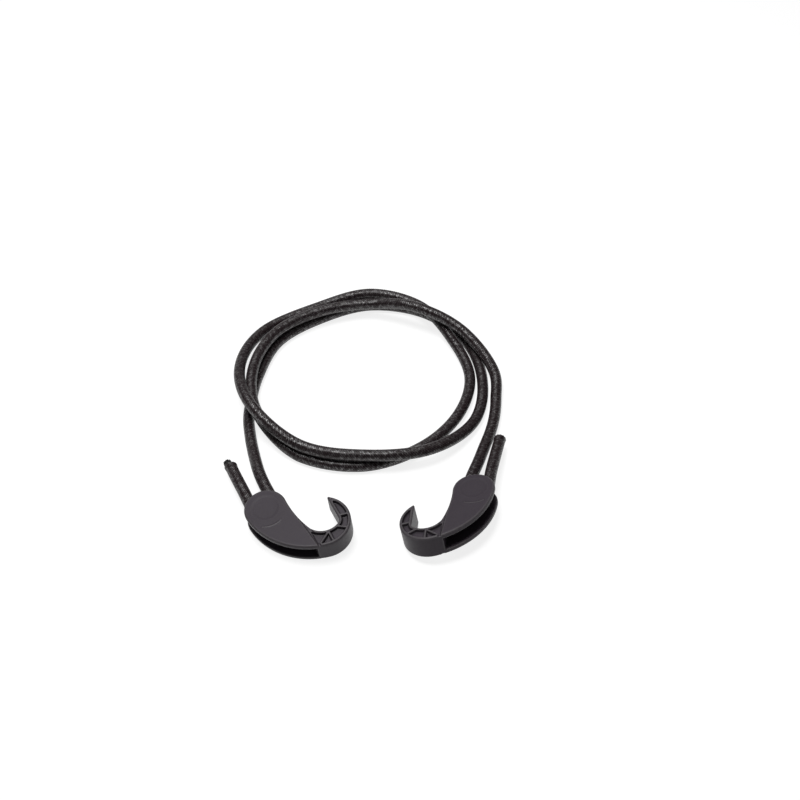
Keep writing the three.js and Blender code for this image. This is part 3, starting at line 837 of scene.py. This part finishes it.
# Surface of the field
def sampled(field, low, points):
    """Field at points between the grid's corners."""
    place = (points - low) / CELL
    cell = np.clip(np.floor(place).astype(int), 0, np.array(field.shape) - 2)
    share = place - cell
    value = np.zeros(len(points))
    for corner in np.ndindex(2, 2, 2):
        weight = np.prod(np.where(corner, share, 1 - share), axis=1)
        value += weight * field[tuple((cell + corner).T)]
    return value


def slope_at(field, low, points):
    slopes = []
    for step in np.eye(3) * CELL / 2:
        slopes.append((sampled(field, low, points + step) - sampled(field, low, points - step)) / CELL)
    return np.stack(slopes, axis=1)


def net_points(field, low):
    """One point in each cell that the surface crosses, and the cells' numbers."""
    inside = field < 0
    shape = np.array(field.shape) - 1
    total = np.zeros((*shape, 3))
    count = np.zeros(shape)
    for axis in range(3):
        for corner in np.ndindex(2, 2, 2):
            if corner[axis]:
                continue
            ahead = tuple(c + (k == axis) for k, c in enumerate(corner))
            a = tuple(slice(c, c + n) for c, n in zip(corner, shape))
            b = tuple(slice(c, c + n) for c, n in zip(ahead, shape))
            cut = inside[a] != inside[b]
            share = field[a][cut] / (field[a][cut] - field[b][cut])
            step = np.zeros((len(share), 3))
            step[:, axis] = share
            total[cut] += step + corner
            count[cut] += 1
    used = count > 0
    number = np.full(shape, -1)
    number[used] = np.arange(used.sum())
    points = low + CELL * (np.argwhere(used) + total[used] / count[used][:, None])
    return points, number


def net_faces(field, number):
    """One face round each edge of the grid that the surface crosses."""
    inside = field < 0
    faces = []
    for axis in range(3):
        first, second = (axis + 1) % 3, (axis + 2) % 3
        a = [slice(1, -1)] * 3
        b = [slice(1, -1)] * 3
        a[axis] = slice(0, -1)
        b[axis] = slice(1, None)
        edge = np.argwhere(inside[tuple(a)] != inside[tuple(b)])
        starts_inside = inside[tuple(a)][tuple(edge.T)]
        around = []
        for along_first, along_second in ((0, 0), (1, 0), (1, 1), (0, 1)):
            cell = edge.copy()
            cell[:, first] += along_first
            cell[:, second] += along_second
            around.append(number[tuple(cell.T)])
        quads = np.stack(around, axis=1)
        quads[~starts_inside] = quads[~starts_inside][:, ::-1]
        faces += quads.tolist()
    return faces


def hook_surface():
    """Points and faces of a hook, and how sharp an edge each point lies on, negative in an inner corner."""
    field, low = hook_field()
    points, number = net_points(field, low)
    for _ in range(SETTLE_STEPS):
        slope = slope_at(field, low, points)
        steepness = np.maximum((slope**2).sum(1), LEAST_SLOPE)
        points -= slope * (sampled(field, low, points) / steepness)[:, None]
    steps = np.vstack([np.eye(3), -np.eye(3)]) * CELL
    bend = -len(steps) * sampled(field, low, points)
    for step in steps:
        bend += sampled(field, low, points + step)
    return points, net_faces(field, number), np.clip(bend / CELL**2 * EDGE_GAIN, -1, 1)


# Build
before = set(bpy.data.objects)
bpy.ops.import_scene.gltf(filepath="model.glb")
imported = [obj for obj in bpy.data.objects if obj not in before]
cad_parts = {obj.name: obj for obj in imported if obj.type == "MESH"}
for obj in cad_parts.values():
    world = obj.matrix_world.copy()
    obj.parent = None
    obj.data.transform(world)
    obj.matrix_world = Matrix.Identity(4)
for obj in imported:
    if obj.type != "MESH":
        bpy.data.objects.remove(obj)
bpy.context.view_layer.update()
braid = braid_material()
plastic = plastic_material()
rubber = rubber_material()
hook_points, hook_faces, hook_edges = hook_surface()


def strands(end):
    return [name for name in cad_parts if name.startswith(f"{end}_strand_")]


def add_cord(name, end, body, rings, shape=None, exit_first=True):
    """A stretch of the cord that rides on one body, or, if body names two, is left unparented with its
    placement baked into the mesh.
    """
    made, path = cord_piece(name, *rings, braid, shape)
    path = path if exit_first else path[::-1]
    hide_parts(f"{end}_sheath", *strands(end))
    if isinstance(body, str):
        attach(made, body)
    else:
        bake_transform(made)


def add_core():
    made = new_object("left_core", *core_threads(), rubber)
    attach(made, "left_end")
    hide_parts(*strands("left_end"))


def add_hook(name, hook):
    placed = (hook_points - (0, 0, HOOK_THICKNESS / 2)) @ turn_of(hook).T + hook["post"]
    made = new_object(f"{name}_moulding", placed, hook_faces, plastic)
    point_values(made, "edge", hook_edges)
    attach(made, name)
    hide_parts(name)


add_cord("coil_cord", "coil", "coil", (left_cut_ring, right_cut_ring))
add_cord("left_leg_cord", "left_end", ("coil", "left_end"), (left_leg_ring, left_cut_ring))
add_cord(
    "left_tail_cord", "left_end", "left_end", (0, left_leg_ring),
    shape=left_tip, exit_first=False,
)
add_cord(
    "right_leg_cord", "right_end", ("coil", "right_end"), (right_cut_ring, right_leg_ring),
    exit_first=False,
)
add_cord(
    "right_tail_cord", "right_end", "right_end", (right_leg_ring, last_ring),
    shape=right_tip,
)
add_core()
add_hook("left_hook", LEFT_HOOK)
add_hook("right_hook", RIGHT_HOOK)


# Stage
def add_floor():
    corners = np.array([(-1, -1, 0), (1, -1, 0), (1, 1, 0), (-1, 1, 0)]) * FLOOR_HALF
    made = new_object("floor", corners - (0, 0, FLOOR_DROP), [[0, 1, 2, 3]], floor_material(), smooth=False)


def add_light(name, place, size, power):
    light = bpy.data.lights.new(name, "AREA")
    light.shape = "DISK"
    light.size = size
    light.energy = power
    made = bpy.data.objects.new(name, light)
    bpy.context.scene.collection.objects.link(made)
    made.location = place
    made.rotation_euler = Vector(np.subtract(LIGHT_TARGET, place)).to_track_quat("-Z", "Y").to_euler()


def add_world():
    world = bpy.data.worlds.new("studio")
    bpy.context.scene.world = world
    world.use_nodes = True
    background = world.node_tree.nodes["Background"]
    background.inputs["Color"].default_value = WHITE
    background.inputs["Strength"].default_value = WORLD_STRENGTH


def add_camera():
    camera_data = bpy.data.cameras.new("camera")
    camera_data.sensor_width = SENSOR_WIDTH
    camera_data.lens = SENSOR_WIDTH * FOCAL_PIXELS / FRAME_PIXELS
    camera = bpy.data.objects.new("camera", camera_data)
    bpy.context.scene.collection.objects.link(camera)
    camera.location = CAMERA_PLACE
    camera.rotation_euler = (np.radians(CAMERA_PITCH), 0, 0)
    bpy.context.scene.camera = camera


add_floor()
for light in LIGHTS:
    add_light(**light)
add_world()
add_camera()
bpy.context.scene.view_settings.view_transform = "Standard"
